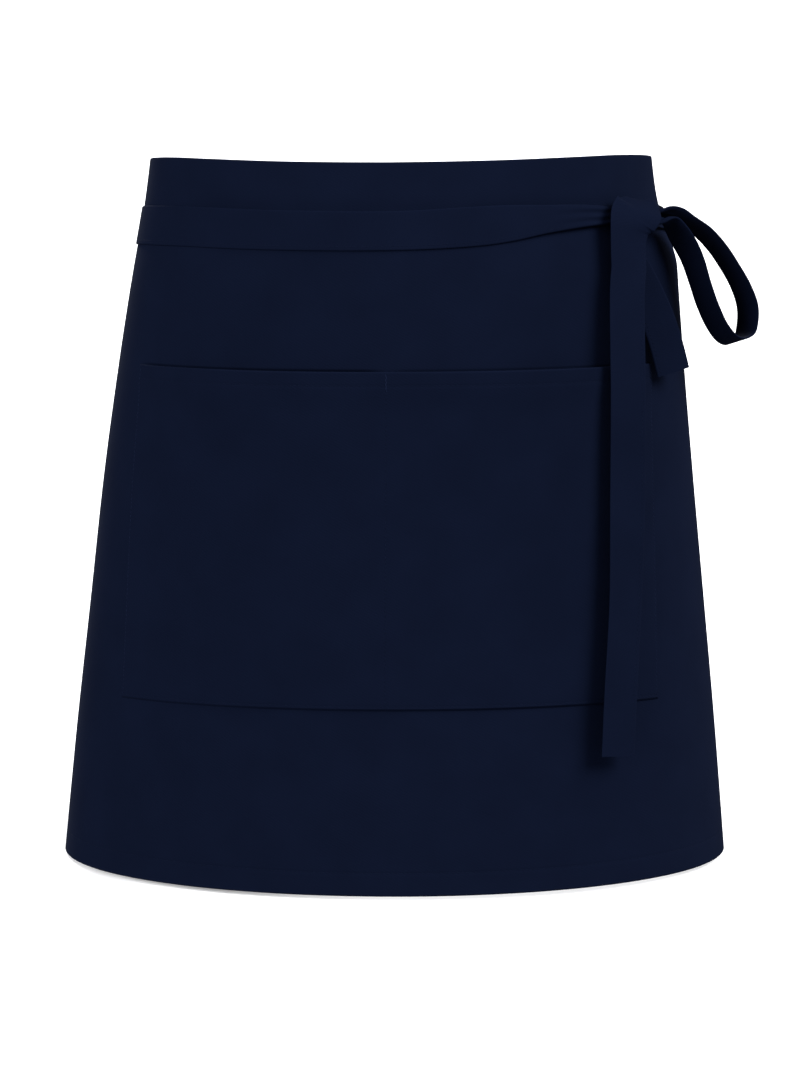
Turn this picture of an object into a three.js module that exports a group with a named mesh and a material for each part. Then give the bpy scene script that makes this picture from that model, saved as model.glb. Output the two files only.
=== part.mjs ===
// A short navy bistro apron in the form it takes when it is worn: an A-line skirt panel that wraps the
// front and sides and stays open at the back, a wide patch pocket, and two ties knotted in a half bow.
// Millimetres, +Z up. The front faces -Y, and the origin is the middle of the waist at the tie's height.
import * as THREE from 'three';

// Cloth
const CLOTH_THICK = 1.2;
const HEM_THICK = 2.0;
const TIE_THICK = 1.4;
const TIE_WIDE = 26.6;
const NAVY = { color: 0x10162a, roughness: 0.85, metalness: 0 };

// Skirt panel: its height above the waist line, where it ends at the back, and its turned hems
const TOP_Z = 48;
const HEM_Z = -452;
const BACK_EDGE_DEG = 135;
const TILT = 1.5;
const HEM_TURN = 18;
const TOP_TURN = 36;
const SIDE_TURN = 15;
const STEP_RUN = 1.5;
const MM_PER_DEG = 2.6;
const SLOPE_SPAN = 12;

// Outer face of the skirt: half width to the picture's left and right, and half depth, at each height
const SECTIONS = [
  { z: -452, left: 239.2, right: 234.2, depth: 169.0 },
  { z: -360, left: 229.7, right: 226.5, depth: 163.5 },
  { z: -270, left: 219.2, right: 218.0, depth: 157.0 },
  { z: -180, left: 208.8, right: 209.4, depth: 150.0 },
  { z: -100, left: 197.4, right: 202.3, depth: 144.0 },
  { z: -50, left: 189.4, right: 198.4, depth: 139.5 },
  { z: -34, left: 186.6, right: 197.2, depth: 137.6 },
  { z: -18, left: 183.7, right: 193.0, depth: 135.5 },
  { z: 14, left: 178.1, right: 182.5, depth: 130.5 },
  { z: 48, left: 173.6, right: 177.9, depth: 124.8 },
];

// Top edge of the skirt: its height at each angle from the middle of the front, on both sides
const TOP_EDGE = [
  { deg: 0, z: 46.4 },
  { deg: 22, z: 46.7 },
  { deg: 45, z: 47.2 },
  { deg: 56, z: 47.1 },
  { deg: 65, z: 46.45 },
  { deg: 75, z: 45.1 },
  { deg: 85, z: 43.3 },
  { deg: 100, z: 39.8 },
  { deg: 118, z: 35 },
  { deg: 135, z: 31 },
];

// Patch pocket: stitched down its sides, foot and middle, with both mouths standing a little open.
// It is cut square, so its corners hang a little lower than the middle of its mouth and foot.
const POCKET = {
  topZ: -94.5, footZ: -324.5, topEdgeDeg: 62.3, footEdgeDeg: 56.1, topDrop: 2.2, footDrop: 3.5,
};
const POCKET_GAP = 0.4;
const POCKET_EASE = 8.6;
const POCKET_TURN = 10;

// Front tie: sewn inside the right back corner, it crosses the back, comes round the left side and over
// the front, dives under the knot, turns up over its top and hangs down as the long tail.
// deg: angle round the waist from the middle of the front; z: height; off: distance from the skirt;
// across: direction of its width, as shares along the waist, out of the skirt and up
const UPRIGHT = [0, 0, 1];
const HANGING = [-0.99, -0.15, 0];
const FLAT_DOWN = [-1, -0.03, 0];
const FRONT_TIE = [
  { deg: 118, z: 15, off: -3.4, wide: 26, thick: TIE_THICK, across: UPRIGHT },
  { deg: 134, z: 17, off: -3.4, wide: 26, thick: TIE_THICK, across: UPRIGHT },
  { deg: 142, z: 17.5, off: -1.4, wide: 26, thick: TIE_THICK, across: UPRIGHT },
  { deg: 148, z: 17, off: 1.2, wide: 26, thick: TIE_THICK, across: UPRIGHT },
  { deg: 160, z: 12.5, off: 3.7, wide: 26, thick: TIE_THICK, across: UPRIGHT },
  { deg: 180, z: 3, off: 3.9, wide: 26, thick: TIE_THICK, across: UPRIGHT },
  { deg: 200, z: -7, off: 3.5, wide: 26, thick: TIE_THICK, across: UPRIGHT },
  { deg: 214, z: -12.5, off: 2.6, wide: 26, thick: TIE_THICK, across: UPRIGHT },
  { deg: 231, z: -14, off: 1.6, wide: 26, thick: TIE_THICK, across: UPRIGHT },
  { deg: 252, z: -10, off: 1.4, wide: 26.6, thick: TIE_THICK, across: UPRIGHT },
  { deg: 275, z: -4, off: 1.35, wide: 27, thick: TIE_THICK, across: UPRIGHT },
  { deg: 305, z: 0.1, off: 1.35, wide: 27.6, thick: TIE_THICK, across: UPRIGHT },
  { deg: 335, z: 0.2, off: 1.4, wide: 27.2, thick: TIE_THICK, across: UPRIGHT },
  { deg: 361, z: 0.3, off: 1.6, wide: 26.6, thick: TIE_THICK, across: UPRIGHT },
  { deg: 377, z: 2.2, off: 1.6, wide: 27, thick: TIE_THICK, across: UPRIGHT },
  { deg: 386, z: 3.9, off: 1.9, wide: 25, thick: TIE_THICK, across: UPRIGHT },
  { deg: 395, z: 5.7, off: 2.4, wide: 19.6, thick: 1.6, across: UPRIGHT },
  { deg: 404, z: 6.6, off: 2.8, wide: 16, thick: 1.8, across: UPRIGHT },
  { deg: 411.5, z: 6.2, off: 2.9, wide: 13, thick: 2.2, across: UPRIGHT },
  { deg: 416.5, z: 6, off: 2.5, wide: 10.5, thick: 2.4, across: UPRIGHT },
  { deg: 420.6, z: 7.2, off: 3.2, wide: 9, thick: 2.4, across: [-0.7, 0, 0.7] },
  { deg: 423.2, z: 10.2, off: 4.9, wide: 11, thick: 1.8, across: [-1, 0.12, 0.05] },
  { deg: 423.6, z: 13.3, off: 9.6, wide: 20, thick: 1.5, across: [-0.97, -0.15, 0.1] },
  { deg: 419.4, z: 6.8, off: 15.4, wide: 33.4, thick: TIE_THICK, across: [-0.95, -0.28, 0.1] },
  { deg: 416.6, z: 1.6, off: 15.6, wide: 34.6, thick: TIE_THICK, across: [-0.94, -0.28, 0.2] },
  { deg: 415.2, z: -3.4, off: 15, wide: 32.6, thick: TIE_THICK, across: [-0.95, -0.25, 0.2] },
  { deg: 414.4, z: -8, off: 13.9, wide: 30, thick: TIE_THICK, across: [-0.97, -0.19, 0.2] },
  { deg: 413.4, z: -16.4, off: 12.7, wide: 28.2, thick: TIE_THICK, across: [-0.98, -0.16, 0.1] },
  { deg: 412.3, z: -30, off: 12.2, wide: 28, thick: TIE_THICK, across: [-0.99, -0.15, 0.02] },
  { deg: 411, z: -50, off: 12.9, wide: 27.8, thick: TIE_THICK, across: HANGING },
  { deg: 408.9, z: -118, off: 16.2, wide: 27.4, thick: TIE_THICK, across: HANGING },
  { deg: 407.3, z: -187, off: 15.6, wide: 27.2, thick: TIE_THICK, across: HANGING },
  { deg: 405.5, z: -255, off: 14.6, wide: TIE_WIDE, thick: TIE_THICK, across: FLAT_DOWN },
  { deg: 403.3, z: -316, off: 13.8, wide: 26.2, thick: TIE_THICK, across: FLAT_DOWN },
  { deg: 401.9, z: -362, off: 13, wide: 25.6, thick: TIE_THICK, across: FLAT_DOWN },
];

// Side tie: sewn inside the left back corner, it crosses the back under the front tie and comes round
// the right side. In the knot it turns back, runs out as the loop, comes in again and ends as a short tail.
const SIDE_TIE_IN = [
  { deg: 242, z: 15, off: -3.4, wide: 26, thick: TIE_THICK, across: UPRIGHT },
  { deg: 226, z: 17, off: -3.4, wide: 26, thick: TIE_THICK, across: UPRIGHT },
  { deg: 218, z: 17.5, off: -2, wide: 26, thick: TIE_THICK, across: UPRIGHT },
  { deg: 210, z: 16.5, off: -0.4, wide: 26, thick: TIE_THICK, across: UPRIGHT },
  { deg: 200, z: 12.5, off: 0.8, wide: 26, thick: TIE_THICK, across: UPRIGHT },
  { deg: 180, z: 3, off: 1.3, wide: 26, thick: TIE_THICK, across: UPRIGHT },
  { deg: 160, z: -8.5, off: 0.8, wide: 26, thick: TIE_THICK, across: UPRIGHT },
  { deg: 147, z: -13.5, off: 1.4, wide: 26, thick: TIE_THICK, across: UPRIGHT },
  { deg: 130, z: -13, off: 1.7, wide: 26, thick: TIE_THICK, across: UPRIGHT },
  { deg: 112, z: -6, off: 1.6, wide: 26, thick: TIE_THICK, across: UPRIGHT },
  { deg: 97, z: -4.2, off: 1.7, wide: 21, thick: TIE_THICK, across: UPRIGHT },
  { deg: 86, z: -2.2, off: 2.2, wide: 16, thick: 1.6, across: UPRIGHT },
  { deg: 77, z: -0.8, off: 2.6, wide: 12.6, thick: 2, across: UPRIGHT },
  { deg: 70.5, z: 0, off: 4, wide: 10, thick: 2.6, across: UPRIGHT },
  { deg: 65.5, z: 0.6, off: 5.6, wide: 8, thick: 3, across: UPRIGHT },
  { deg: 61.6, z: -2.4, off: 6.4, wide: 7, thick: 3, across: UPRIGHT },
  { deg: 58.6, z: -3.6, off: 6.6, wide: 6.4, thick: 3, across: UPRIGHT },
  { deg: 54.4, z: 1.2, off: 6.9, wide: 5.2, thick: 3, across: [1, 0, 0] },
  { deg: 58.6, z: 6, off: 7.3, wide: 6.4, thick: 3, across: [0, 0, -1] },
  { deg: 61.6, z: 6.2, off: 8, wide: 7, thick: 3, across: [0, 0, -1] },
  { deg: 65.5, z: 6.4, off: 9.7, wide: 7.4, thick: 3, across: [0, 0.3, -0.95] },
];
const SIDE_TIE_OUT = [
  { deg: 65, z: -1.6, off: 11.9, wide: 7.6, thick: 3, across: [0, 0.3, -0.95] },
  { deg: 60.5, z: -2.4, off: 11.2, wide: 7, thick: 3, across: [0, 0, -1] },
  { deg: 57.6, z: -6, off: 10.8, wide: 7.8, thick: 3, across: [0.75, 0, -0.65] },
  { deg: 56.2, z: -12, off: 8.8, wide: 13, thick: 2.4, across: [1, 0, -0.1] },
  { deg: 56, z: -26, off: 6.6, wide: 21, thick: 1.6, across: [0.95, 0.15, 0.25] },
  { deg: 58.3, z: -43.7, off: 7, wide: 25.5, thick: TIE_THICK, across: [0.87, 0.3, 0.45] },
  { deg: 61.9, z: -63.8, off: 8.5, wide: 25.8, thick: TIE_THICK, across: [0.85, 0.36, 0.4] },
  { deg: 64.2, z: -84.2, off: 10.5, wide: 25.8, thick: TIE_THICK, across: [0.83, 0.42, 0.36] },
  { deg: 65.4, z: -104.2, off: 12.5, wide: 25.8, thick: TIE_THICK, across: [0.82, 0.44, 0.36] },
];

// The loop of the half bow stands in an upright plane that turns back from the picture's right.
// out: distance from its root in that plane; z: height over the root; turn: angle that its width is turned
// by; lift: rise of its near edge, as a share of the width
const LOOP_ROOT = new THREE.Vector3(192, -49, 6);
const LOOP_TURN_DEG = 36;
const LOOP_THICK = 1.6;
const LOOP = [
  { out: 0, z: 1.6, wide: 14, turn: 38, lift: 0.9 },
  { out: 13, z: -4, wide: 20.4, turn: 36, lift: 0.31 },
  { out: 26.3, z: -12, wide: 24.2, turn: 34, lift: 0.22 },
  { out: 39.7, z: -23.8, wide: 24.4, turn: 33, lift: 0.18 },
  { out: 51.2, z: -37.6, wide: 24.2, turn: 32.5, lift: 0.17 },
  { out: 61.6, z: -52.7, wide: 24.4, turn: 33, lift: 0.18 },
  { out: 67.5, z: -66.7, wide: 25.2, turn: 34, lift: 0.2 },
  { out: 67.7, z: -78.7, wide: 26, turn: 34.5, lift: 0.23 },
  { out: 64.8, z: -87.2, wide: 26, turn: 36, lift: 0.27 },
  { out: 58, z: -91, wide: 26, turn: 36, lift: 0.27 },
  { out: 50.5, z: -88.8, wide: 26, turn: 36, lift: 0.2 },
  { out: 41, z: -79, wide: 26, turn: 36, lift: 0.12 },
  { out: 32.8, z: -64.6, wide: 25.9, turn: 36, lift: 0.1 },
  { out: 25.8, z: -48.2, wide: 25.5, turn: 36, lift: 0.1 },
  { out: 19.2, z: -32.2, wide: 27.4, turn: 36, lift: 0.1 },
  { out: 11.2, z: -18.8, wide: 29.5, turn: 36, lift: 0.12 },
  { out: 4.8, z: -9.4, wide: 24.4, turn: 35, lift: 0.24 },
  { out: 0, z: -4.5, wide: 14.5, turn: 34, lift: 0.6 },
];

const UP = new THREE.Vector3(0, 0, 1);
const radians = THREE.MathUtils.degToRad;
const { lerp, clamp } = THREE.MathUtils;

// Value of one column where the key column has a given value, on a smooth curve through a table's rows that
// never overshoots one
function through(rows, key, value, column) {
  const at = clamp(value, rows[0][key], rows.at(-1)[key]);
  const k = clamp(rows.findLastIndex((row) => row[key] <= at), 0, rows.length - 2);
  const rise = (i) => (rows[i + 1][column] - rows[i][column]) / (rows[i + 1][key] - rows[i][key]);
  const slope = (i) => {
    if (i === 0) return rise(0);
    if (i === rows.length - 1) return rise(i - 1);
    const [before, after] = [rise(i - 1), rise(i)];
    return before * after > 0 ? (2 * before * after) / (before + after) : 0;
  };
  const span = rows[k + 1][key] - rows[k][key];
  const f = (at - rows[k][key]) / span;
  const [near, far] = [rows[k][column], rows[k + 1][column]];
  const eased = f * f * (3 - 2 * f);
  return lerp(near, far, eased) + span * f * (1 - f) * ((1 - f) * slope(k) - f * slope(k + 1));
}

const sectionAt = (z, column) => through(SECTIONS, 'z', z, column);

// Point of the skirt's outer face at an angle and height, with the directions round it, up it and out of it
function skirtPlace(deg, z) {
  const [s, c] = [Math.sin(radians(deg)), Math.cos(radians(deg))];
  const side = s > 0 ? 'right' : 'left';
  const pointAt = (height) =>
    new THREE.Vector3(sectionAt(height, side) * s, -sectionAt(height, 'depth') * c, height + TILT * s);
  const point = pointAt(z);
  const along = new THREE.Vector3(sectionAt(z, side) * c, sectionAt(z, 'depth') * s, 0).normalize();
  const rise = pointAt(Math.min(z + SLOPE_SPAN, TOP_Z)).sub(pointAt(Math.max(z - SLOPE_SPAN, HEM_Z))).normalize();
  const out = along.clone().cross(rise).normalize();
  return { point, along, rise, out };
}

function skirtPoint(deg, z, off) {
  const { point, out } = skirtPlace(deg, z);
  return point.addScaledVector(out, off);
}

// Closed wall between two faces given as grids of points, faceOut[i][j] and faceIn[i][j]
function wallGeometry(faceOut, faceIn) {
  const [rows, columns] = [faceOut.length, faceOut[0].length];
  const index = [];
  const outer = (i, j) => i * columns + j;
  const inner = (i, j) => rows * columns + outer(i, j);
  const quad = (a, b, c, d) => index.push(a, b, c, a, c, d);
  for (let i = 0; i < rows - 1; i++) {
    for (let j = 0; j < columns - 1; j++) {
      quad(outer(i, j), outer(i + 1, j), outer(i + 1, j + 1), outer(i, j + 1));
      quad(inner(i, j), inner(i, j + 1), inner(i + 1, j + 1), inner(i + 1, j));
    }
    quad(outer(i + 1, 0), outer(i, 0), inner(i, 0), inner(i + 1, 0));
    quad(outer(i, columns - 1), outer(i + 1, columns - 1), inner(i + 1, columns - 1), inner(i, columns - 1));
  }
  for (let j = 0; j < columns - 1; j++) {
    quad(outer(0, j), outer(0, j + 1), inner(0, j + 1), inner(0, j));
    quad(outer(rows - 1, j + 1), outer(rows - 1, j), inner(rows - 1, j), inner(rows - 1, j + 1));
  }
  const points = [...faceOut.flat(), ...faceIn.flat()];
  const geometry = new THREE.BufferGeometry().setFromPoints(points);
  geometry.setIndex(index);
  geometry.computeVertexNormals();
  return geometry;
}

// Evenly spaced values from first to last
const spread = (first, last, steps) => Array.from({ length: steps + 1 }, (_, k) => lerp(first, last, k / steps));

// Skirt panel: the rows of its grid run down from the top edge, which dips towards the back corners
function skirtGeometry() {
  const length = TOP_Z - HEM_Z;
  const downs = [
    0,
    TOP_TURN,
    ...spread(TOP_TURN + STEP_RUN, length - HEM_TURN - STEP_RUN, 13),
    length - HEM_TURN,
    length,
  ];
  const sideDeg = SIDE_TURN / MM_PER_DEG;
  const stepDeg = STEP_RUN / MM_PER_DEG;
  const inside = BACK_EDGE_DEG - sideDeg - stepDeg;
  const degs = [
    -BACK_EDGE_DEG,
    -BACK_EDGE_DEG + sideDeg,
    ...spread(-inside, inside, 60),
    BACK_EDGE_DEG - sideDeg,
    BACK_EDGE_DEG,
  ];
  const face = (offAt) => downs.map((down) => degs.map((deg) => {
    const top = through(TOP_EDGE, 'deg', Math.abs(deg), 'z');
    const z = lerp(top, HEM_Z, down / length);
    return skirtPoint(deg, z, offAt(down, deg));
  }));
  const turned = (down, deg) =>
    down <= TOP_TURN || down >= length - HEM_TURN || Math.abs(deg) >= BACK_EDGE_DEG - sideDeg;
  return wallGeometry(face(() => 0), face((down, deg) => (turned(down, deg) ? -HEM_THICK : -CLOTH_THICK)));
}

// Patch pocket: across runs from -1 to 1 between its side seams, and each half swells towards its mouth
function pocketGeometry() {
  const length = POCKET.topZ - POCKET.footZ;
  const downs = [0, POCKET_TURN, ...spread(POCKET_TURN + STEP_RUN, length, 8)];
  const acrosses = spread(-1, 1, 36);
  const face = (thickAt) => downs.map((down) => acrosses.map((across) => {
    const share = down / length;
    const deg = across * lerp(POCKET.topEdgeDeg, POCKET.footEdgeDeg, share);
    const z = POCKET.topZ - down - lerp(POCKET.topDrop, POCKET.footDrop, share) * across ** 2;
    const swell = POCKET_EASE * Math.sin(Math.PI * Math.abs(across)) ** 2 * (1 - share) ** 1.3;
    return skirtPoint(deg, z, POCKET_GAP + swell + thickAt(down));
  }));
  return wallGeometry(face((down) => (down <= POCKET_TURN ? HEM_THICK : CLOTH_THICK)), face(() => 0));
}

// Rows of a tie with more rows between them, each value on a smooth curve through its column, so that
// the tie keeps its distance from the skirt all the way
function filledIn(rows) {
  const longestStep = 14;
  const curve = (p, f) => p[1] + 0.5 * f * (p[2] - p[0]
    + f * (2 * p[0] - 5 * p[1] + 4 * p[2] - p[3] + f * (3 * (p[1] - p[2]) + p[3] - p[0])));
  const more = rows.slice(0, -1).flatMap((row, k) => {
    const four = [rows[Math.max(k - 1, 0)], row, rows[k + 1], rows[Math.min(k + 2, rows.length - 1)]];
    const apart = skirtPoint(row.deg, row.z, row.off).distanceTo(skirtPoint(four[2].deg, four[2].z, four[2].off));
    const steps = Math.ceil(apart / longestStep);
    return spread(0, 1, steps).slice(0, -1).map((f) => {
      const value = (read) => curve(four.map(read), f);
      const column = (name) => value((r) => r[name]);
      const across = [0, 1, 2].map((axis) => value((r) => r.across[axis]));
      return {
        deg: column('deg'), z: column('z'), off: column('off'), wide: column('wide'), thick: column('thick'), across,
      };
    });
  });
  return [...more, rows.at(-1)];
}

// Station of a tie that is placed from the skirt
function skirtStation({ deg, z, off, wide, thick, across }) {
  const { point, along, rise, out } = skirtPlace(deg, z);
  const [alongShare, outShare, upShare] = across;
  const direction = new THREE.Vector3()
    .addScaledVector(along, alongShare)
    .addScaledVector(out, outShare)
    .addScaledVector(rise, upShare);
  return { place: point.addScaledVector(out, off), across: direction, wide, thick };
}

// Station of the loop, whose width stands nearly square to its plane
function loopStation({ out, z, wide, turn, lift }) {
  const plane = radians(LOOP_TURN_DEG);
  const away = new THREE.Vector3(Math.cos(plane), Math.sin(plane), 0);
  const across = new THREE.Vector3(Math.sin(radians(turn)), -Math.cos(radians(turn)), lift);
  const place = LOOP_ROOT.clone().addScaledVector(away, out).addScaledVector(UP, z);
  return { place, across, wide, thick: lerp(LOOP_THICK, TIE_THICK, wide / TIE_WIDE) };
}

// Strip of cloth through its stations, with more steps where it turns sharply. Where it is drawn in, it
// gathers into small pleats.
function tieGeometry(stations) {
  const turnPerStep = radians(16);
  const mostSteps = 4;
  const pleat = 1.2;
  const columns = spread(-0.5, 0.5, 5);
  const curve = new THREE.CatmullRomCurve3(stations.map((s) => s.place), false, 'centripetal');
  const last = stations.length - 1;
  const [faceOut, faceIn] = [[], []];
  stations.slice(0, -1).forEach((from, k) => {
    const to = stations[k + 1];
    const turn = curve.getTangent(k / last).angleTo(curve.getTangent((k + 1) / last));
    const steps = clamp(Math.ceil(turn / turnPerStep), 1, mostSteps);
    for (let i = k === 0 ? 0 : 1; i <= steps; i++) {
      const share = i / steps;
      const at = (k + share) / last;
      const middle = curve.getPoint(at);
      const tangent = curve.getTangent(at);
      const across = from.across.clone().normalize().lerp(to.across.clone().normalize(), share);
      across.addScaledVector(tangent, -across.dot(tangent)).normalize();
      const normal = tangent.clone().cross(across);
      const wide = lerp(from.wide, to.wide, share);
      const thick = lerp(from.thick, to.thick, share);
      const drawnIn = clamp(1 - wide / (0.9 * TIE_WIDE), 0, 0.5) * (thick < 2.5 ? 1 : 0);
      const row = (side) => columns.map((c, j) => middle.clone()
        .addScaledVector(across, c * wide)
        .addScaledVector(normal, (side * thick) / 2 + pleat * drawnIn * (j % 2 ? 1 : -1)));
      faceOut.push(row(1));
      faceIn.push(row(-1));
    }
  });
  return wallGeometry(faceOut, faceIn);
}

// The pieces, each a mesh of its own
const pieces = {
  skirt_panel: skirtGeometry(),
  patch_pocket: pocketGeometry(),
  front_tie: tieGeometry(filledIn(FRONT_TIE).map(skirtStation)),
  side_tie: tieGeometry([
    ...filledIn(SIDE_TIE_IN).map(skirtStation),
    ...LOOP.map(loopStation),
    ...filledIn(SIDE_TIE_OUT).map(skirtStation),
  ]),
};

const apron = new THREE.Group();
for (const [name, geometry] of Object.entries(pieces)) {
  const mesh = new THREE.Mesh(geometry, new THREE.MeshStandardMaterial(NAVY));
  mesh.name = name;
  apron.add(mesh);
}

export default apron;
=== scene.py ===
import bpy
import numpy as np
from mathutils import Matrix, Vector


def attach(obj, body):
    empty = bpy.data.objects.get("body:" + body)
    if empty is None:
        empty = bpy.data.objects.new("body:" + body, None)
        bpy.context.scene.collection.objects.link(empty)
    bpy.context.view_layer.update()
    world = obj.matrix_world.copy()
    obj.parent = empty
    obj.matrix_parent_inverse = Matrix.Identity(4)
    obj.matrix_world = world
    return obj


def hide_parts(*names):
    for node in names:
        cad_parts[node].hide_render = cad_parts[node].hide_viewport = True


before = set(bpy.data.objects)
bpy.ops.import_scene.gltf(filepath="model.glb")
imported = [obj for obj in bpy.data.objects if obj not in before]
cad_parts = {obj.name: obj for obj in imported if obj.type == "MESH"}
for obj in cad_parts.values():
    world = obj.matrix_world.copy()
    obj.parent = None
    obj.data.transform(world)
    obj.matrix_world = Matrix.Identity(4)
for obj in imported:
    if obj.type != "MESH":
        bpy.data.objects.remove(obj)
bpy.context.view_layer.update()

# Skirt panel: one piece of navy polycotton twill, cut to an A line and wrapped round the front and sides.
# It stays open at the back. Its top, hem and back edges are turned to the inside, pressed and stitched down.
MM = 0.001
CLOTH_THICK, HEM_THICK = 1.2, 2.0
EDGE_ROLL, EDGE_ROUND = 1.0, 0.96
TOP_Z, HEM_Z = 48.0, -452.0
BACK_EDGE_DEG = 135.0
TILT = 1.5
SLOPE_SPAN = 12.0
TOP_TURN, HEM_TURN, SIDE_TURN = 36.0, 18.0, 15.0
TURN_STEP = 1.4
STITCH_IN, STITCH_DENT, DENT_REACH = 2.0, 0.14, 1.1
POCKET_TOP_Z, POCKET_TOP_DEG, POCKET_TOP_DROP = -94.5, 62.3, 2.2
MOUTH_SAG, MOUTH_SAG_ABOVE, MOUTH_SAG_BELOW = 1.3, 1.7, 45.0
MOUTH_SAG_START, MOUTH_SAG_LIP, RIGHT_MOUTH_SHARE = 5.0, 0.3, 0.4
WAIST_PULL, WAIST_PULL_Z, WAIST_PULL_HIGH, WAIST_PULL_LOW = 0.9, 14.5, 6.0, 22.0
WAIST_PULL_DEG = (50.0, 75.0)
SKIRT_MM_PER_DEG = 2.6
SKIRT_GRID_DOWN, SKIRT_GRID_ROUND = 4.2, 3.4

# Outer face at each height: half width to the picture's left and right, and half depth, in millimetres
SECTIONS = np.array([
    # z, left, right, depth
    (-452, 239.2, 234.2, 169),
    (-360, 229.7, 226.5, 163.5),
    (-270, 219.2, 218, 157),
    (-180, 208.8, 209.4, 150),
    (-100, 197.4, 202.3, 144),
    (-50, 189.4, 198.4, 139.5),
    (-34, 186.6, 197.2, 137.6),
    (-18, 183.7, 193, 135.5),
    (14, 178.1, 182.5, 130.5),
    (48, 173.6, 177.9, 124.8),
])

# Height of the top edge at each angle from the middle of the front
TOP_EDGE = np.array([
    # degrees, z
    (0, 46.4),
    (22, 46.7),
    (45, 47.2),
    (56, 47.1),
    (65, 46.45),
    (75, 45.1),
    (85, 43.3),
    (100, 39.8),
    (118, 35),
    (135, 31),
])


def through_rows(x, rows_x, rows_y):
    """Smooth curve through a table's rows that never overshoots one: cubic pieces whose slope at a row is
    the harmonic mean of the slopes on its two sides, or zero where the table turns."""
    step = np.diff(rows_x)
    rise = np.diff(rows_y) / step
    product = rise[:-1] * rise[1:]
    total = np.where(product > 0, rise[:-1] + rise[1:], 1)
    slope = np.concatenate([rise[:1], np.where(product > 0, 2 * product / total, 0), rise[-1:]])
    k = np.clip(np.searchsorted(rows_x, x, side="right") - 1, 0, len(step) - 1)
    f = (x - rows_x[k]) / step[k]
    eased = f * f * (3 - 2 * f)
    bend = step[k] * f * (1 - f) * ((1 - f) * slope[k] - f * slope[k + 1])
    return rows_y[k] + (rows_y[k + 1] - rows_y[k]) * eased + bend


def unit(vectors):
    """Vectors of length one along the last axis."""
    return vectors / np.linalg.norm(vectors, axis=-1, keepdims=True)


def ease(low, high, x):
    """Smooth step from 0 at low to 1 at high."""
    f = np.clip((x - low) / (high - low), 0, 1)
    return f * f * (3 - 2 * f)


def skirt_place(deg, z):
    """Point of the skirt's outer face, and the directions along the waist, up the cloth and out of it.
    The point is (half width x sine, -half depth x cosine, height + tilt x sine) of the angle from the
    middle of the front."""
    deg, z = np.broadcast_arrays(np.asarray(deg, float), np.asarray(z, float))
    s, c = np.sin(np.radians(deg)), np.cos(np.radians(deg))

    def halves(height):
        level = np.clip(height, HEM_Z, TOP_Z)
        left, right, depth = (through_rows(level, SECTIONS[:, 0], SECTIONS[:, k]) for k in (1, 2, 3))
        return np.where(s > 0, right, left), depth

    def point(height):
        half, depth = halves(height)
        return np.stack([half * s, -depth * c, height + TILT * s], -1)

    half, depth = halves(z)
    along = unit(np.stack([half * c, depth * s, 0 * s], -1))
    rise = unit(point(np.minimum(z + SLOPE_SPAN, TOP_Z)) - point(np.maximum(z - SLOPE_SPAN, HEM_Z)))
    return point(z), along, rise, unit(np.cross(along, rise))


def skirt_point(deg, z, off):
    """Point at a distance from the skirt's outer face."""
    point, _, _, out = skirt_place(deg, z)
    return point + out * np.asarray(off, float)[..., None]


def skirt_height(deg, down):
    """Height of a place that is down from the top edge, which dips towards the back corners."""
    top = through_rows(np.abs(deg), TOP_EDGE[:, 0], TOP_EDGE[:, 1])
    return top + (HEM_Z - top) * down / (TOP_Z - HEM_Z)


def lines_between(first, last, step, *marks):
    """Even values from first to last, with closer ones at both ends and beside each mark, rounded to
    a tenth of a millimetre."""
    close = np.array([-2.2, -1.4, -0.8, -0.4, -0.1, 0, 0.1, 0.4, 0.8, 1.4, 2.2])
    even = np.linspace(first, last, round((last - first) / step) + 1)
    near = [mark + close for mark in (first, last, *marks)]
    return np.unique(np.round(np.clip(np.concatenate([even, *near]), first, last), 1))


def rolled(edge):
    """Share of the full thickness at a distance from a folded edge, whose section is a half round that is
    cut off just before its tip."""
    return np.sqrt(1 - EDGE_ROUND * (1 - np.clip(edge / EDGE_ROLL, 0, 1)) ** 2)


def dent(distance):
    """Groove that a row of stitches pulls into the cloth: a bell curve over the distance from the row."""
    return STITCH_DENT * np.exp(-(distance / DENT_REACH) ** 2)


def laid_out(face):
    """Flat place in millimetres of each point of a face: its distance along its row, from the row's
    middle, and down its column."""
    across = np.linalg.norm(np.diff(face, axis=1), axis=-1).cumsum(1)
    across = np.pad(across, ((0, 0), (1, 0)))
    across -= across[:, across.shape[1] // 2][:, None]
    down = np.linalg.norm(np.diff(face, axis=0), axis=-1).cumsum(0)
    down = np.pad(down, ((1, 0), (0, 0)))
    return np.stack([across, down], -1)


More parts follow.
